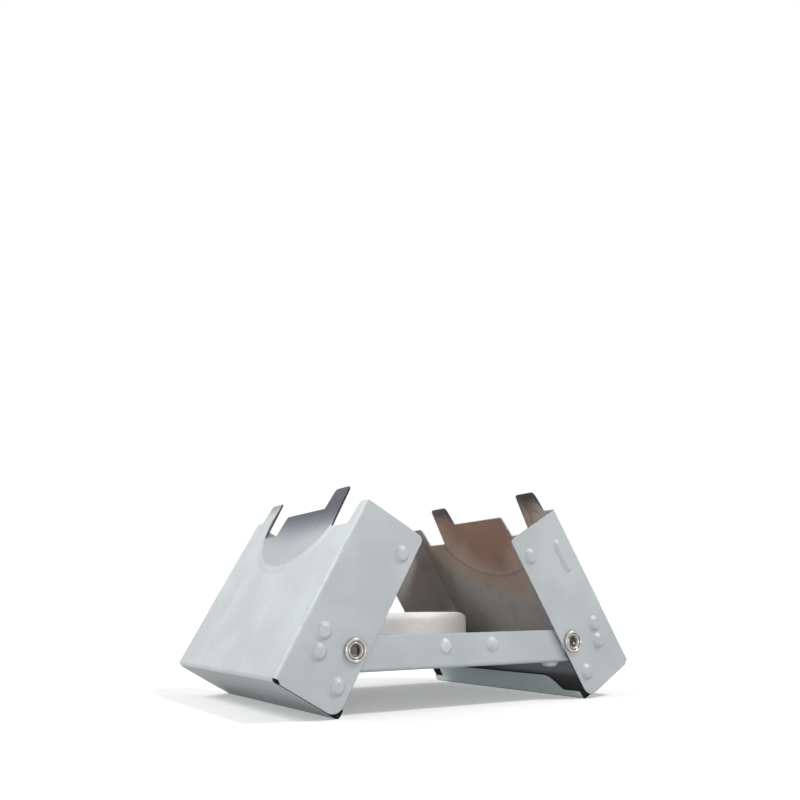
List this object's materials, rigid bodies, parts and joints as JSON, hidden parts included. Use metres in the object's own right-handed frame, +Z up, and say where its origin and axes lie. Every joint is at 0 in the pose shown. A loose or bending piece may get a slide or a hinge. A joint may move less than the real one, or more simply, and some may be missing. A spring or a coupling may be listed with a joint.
{
  "type": "pocket stove",
  "caption": "Folding pocket stove for solid fuel: a low sheet steel tray and two hinged wings with prongs that carry a pot, closing into a flat box.",
  "frame": {"origin": "on the ground under the middle of the tray, with the wings tilted open 60 degrees from closed", "axes": "+X along the stove from the left wing to the right wing, -Y is the front, +Z up"},
  "size_m": [0.1076, 0.0786, 0.057],
  "materials": {
    "wing_steel": "galvanised, satin, with a fine grain",
    "tray_steel": "galvanised, satin, with a fine grain",
    "rivet_metal": "nickel plated, polished",
    "fuel": "pressed powder, waxy and matte"
  },
  "bodies": {
    "tray": {"tray": "tray_steel", "left_front_rivet": "rivet_metal", "left_rear_rivet": "rivet_metal", "right_front_rivet": "rivet_metal", "right_rear_rivet": "rivet_metal"},
    "left_wing": {"left_wing": "wing_steel"},
    "right_wing": {"right_wing": "wing_steel"},
    "fuel_tablet": {"fuel_tablet": "fuel"}
  },
  "joints": [
    {"name": "left_hinge", "type": "hinge", "parent": "tray", "child": "left_wing", "pos_m": [-0.03355, 0, 0.01526], "axis": [0, -1, 0], "range_deg": [-60, 30]},
    {"name": "right_hinge", "type": "hinge", "parent": "tray", "child": "right_wing", "pos_m": [0.03355, 0, 0.01526], "axis": [0, 1, 0], "range_deg": [-60, 30]},
    {"name": "tablet_lift", "type": "slide", "parent": "tray", "child": "fuel_tablet", "axis": [0, 0, 1], "range_m": [0, 0.05]}
  ]
}
